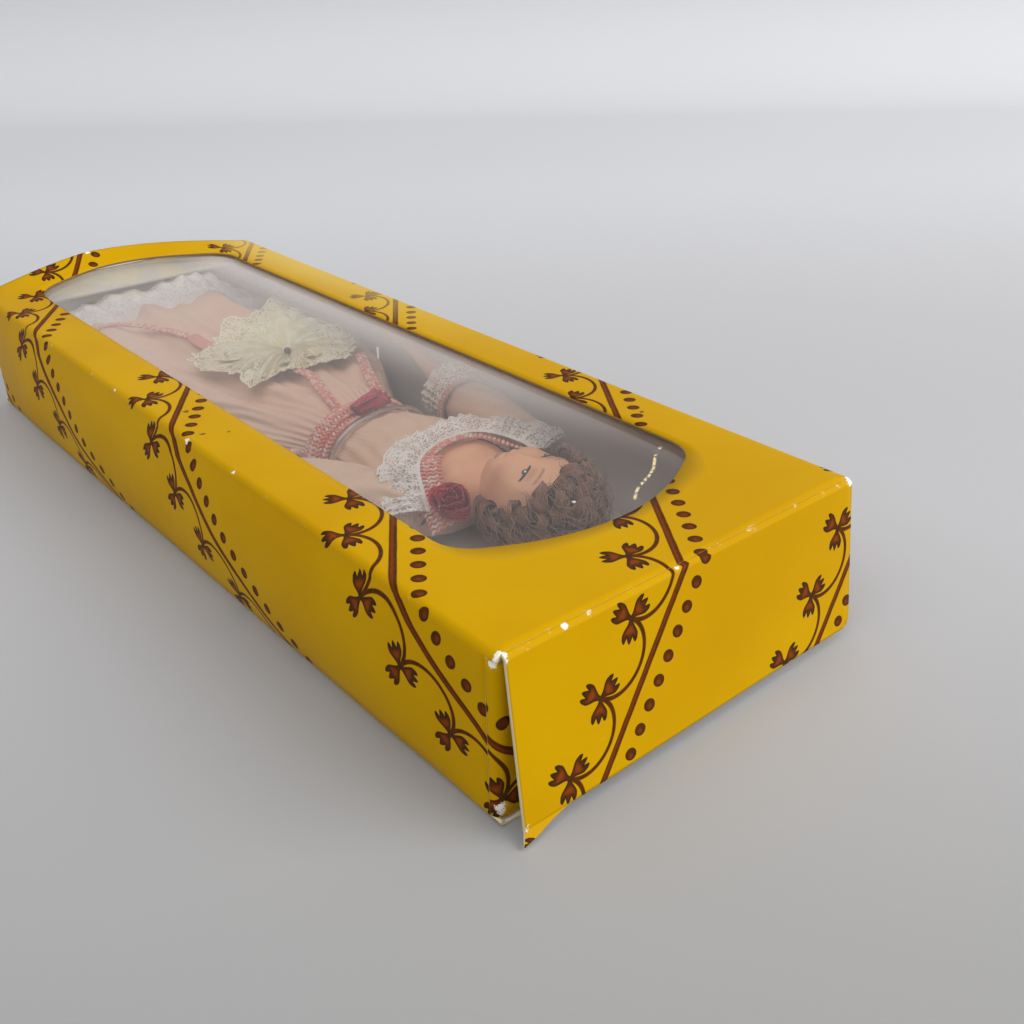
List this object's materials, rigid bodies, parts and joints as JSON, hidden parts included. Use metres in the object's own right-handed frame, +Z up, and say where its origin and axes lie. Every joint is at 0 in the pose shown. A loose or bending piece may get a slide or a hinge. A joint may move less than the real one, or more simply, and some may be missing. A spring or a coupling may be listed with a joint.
{
  "type": "boxed miniature doll",
  "caption": "Miniature bisque lady doll in a long dress, lying wired to a card inside a long window carton with tuck-in end flaps.",
  "frame": {"origin": "centre of the carton's bottom face", "axes": "+Y along the carton towards the doll's feet, +X towards the doll's right side, +Z up out of the window"},
  "size_m": [0.0696, 0.182, 0.0299],
  "materials": {
    "board": "printed paperboard, lightly varnished",
    "film": "clear film, slightly hazed",
    "inner": "uncoated grey card",
    "steel": "bright wire",
    "bisque": "painted unglazed porcelain",
    "hair": "curled mohair",
    "calico": "stuffed cotton",
    "muslin": "fine open weave",
    "lace": "white cotton lace",
    "braid": "pink and white satin braid",
    "rose": "rolled ribbon",
    "pink": "dusty pink cotton",
    "cream": "cream guipure lace",
    "bead": "brown glass-like bead"
  },
  "bodies": {
    "carton": {"carton_sleeve": "board", "window_film": "film", "backing_card": "inner", "retaining_wire": "steel", "doll_head": "bisque", "wig": "hair", "torso": "calico", "bodice": "muslin", "collar": "lace", "neckline_braid": "braid", "shoulder_rose": "rose", "sash": "braid", "waist_rose": "rose", "skirt": "pink", "petticoat": "lace", "lace_rosette": "cream", "rosette_bead": "bead", "left_swag_cord": "braid", "right_swag_cord": "braid"},
    "head_end_flap": {"head_end_flap": "board"},
    "head_end_tongue": {"head_end_tongue": "board"},
    "foot_end_flap": {"foot_end_flap": "board"},
    "foot_end_tongue": {"foot_end_tongue": "board"},
    "head_dust_flap_left": {"head_dust_flap_left": "board"},
    "head_dust_flap_right": {"head_dust_flap_right": "board"},
    "foot_dust_flap_left": {"foot_dust_flap_left": "board"},
    "foot_dust_flap_right": {"foot_dust_flap_right": "board"},
    "right_arm": {"right_upper_arm": "calico", "right_forearm": "bisque", "right_sleeve": "muslin", "right_cuff": "lace"},
    "left_arm": {"left_upper_arm": "calico", "left_forearm": "bisque", "left_sleeve": "muslin", "left_cuff": "lace"},
    "right_leg": {"right_upper_leg": "calico", "right_lower_leg": "bisque"},
    "left_leg": {"left_upper_leg": "calico", "left_lower_leg": "bisque"}
  },
  "joints": [
    {"name": "head_end_crease", "type": "hinge", "parent": "carton", "child": "head_end_flap", "pos_m": [0, -0.08805, 0.0246], "axis": [-1, 0, 0], "range_deg": [0, 120]},
    {"name": "head_tongue_crease", "type": "hinge", "parent": "head_end_flap", "child": "head_end_tongue", "pos_m": [0, -0.09059, 0.00184], "axis": [1, 0, 0], "range_deg": [0, 42]},
    {"name": "foot_end_crease", "type": "hinge", "parent": "carton", "child": "foot_end_flap", "pos_m": [0, 0.08805, 0.00045], "axis": [-1, 0, 0], "range_deg": [0, 90]},
    {"name": "foot_tongue_crease", "type": "hinge", "parent": "foot_end_flap", "child": "foot_end_tongue", "pos_m": [0, 0.0878, 0.02505], "axis": [-1, 0, 0], "range_deg": [0, 31.5]},
    {"name": "head_dust_crease_left", "type": "hinge", "parent": "carton", "child": "head_dust_flap_left", "pos_m": [-0.0309, -0.0857, 0.0125], "axis": [0, 0, 1], "range_deg": [0, 60]},
    {"name": "head_dust_crease_right", "type": "hinge", "parent": "carton", "child": "head_dust_flap_right", "pos_m": [0.0309, -0.0857, 0.0125], "axis": [0, 0, -1], "range_deg": [0, 60]},
    {"name": "foot_dust_crease_left", "type": "hinge", "parent": "carton", "child": "foot_dust_flap_left", "pos_m": [-0.0309, 0.0857, 0.0125], "axis": [0, 0, -1], "range_deg": [0, 10]},
    {"name": "foot_dust_crease_right", "type": "hinge", "parent": "carton", "child": "foot_dust_flap_right", "pos_m": [0.0309, 0.0857, 0.0125], "axis": [0, 0, 1], "range_deg": [0, 10]},
    {"name": "right_shoulder", "type": "hinge", "parent": "carton", "child": "right_arm", "pos_m": [0.02247, -0.02759, 0.012], "axis": [0, 0, 1], "range_deg": [0, 6]},
    {"name": "left_shoulder", "type": "hinge", "parent": "carton", "child": "left_arm", "pos_m": [-0.00823, -0.0319, 0.012], "axis": [0, 0, -1], "range_deg": [0, 6]},
    {"name": "right_hip", "type": "hinge", "parent": "carton", "child": "right_leg", "pos_m": [0.0083, 0.0106, 0.0093], "axis": [0, 0, -1], "range_deg": [0, 5]},
    {"name": "left_hip", "type": "hinge", "parent": "carton", "child": "left_leg", "pos_m": [-0.0013, 0.0106, 0.0093], "axis": [0, 0, 1], "range_deg": [0, 5]}
  ],
  "couplings": [
    {"joint": "head_tongue_crease", "follows": "head_end_crease", "ratio": 0.35},
    {"joint": "foot_tongue_crease", "follows": "foot_end_crease", "ratio": 0.35}
  ]
}
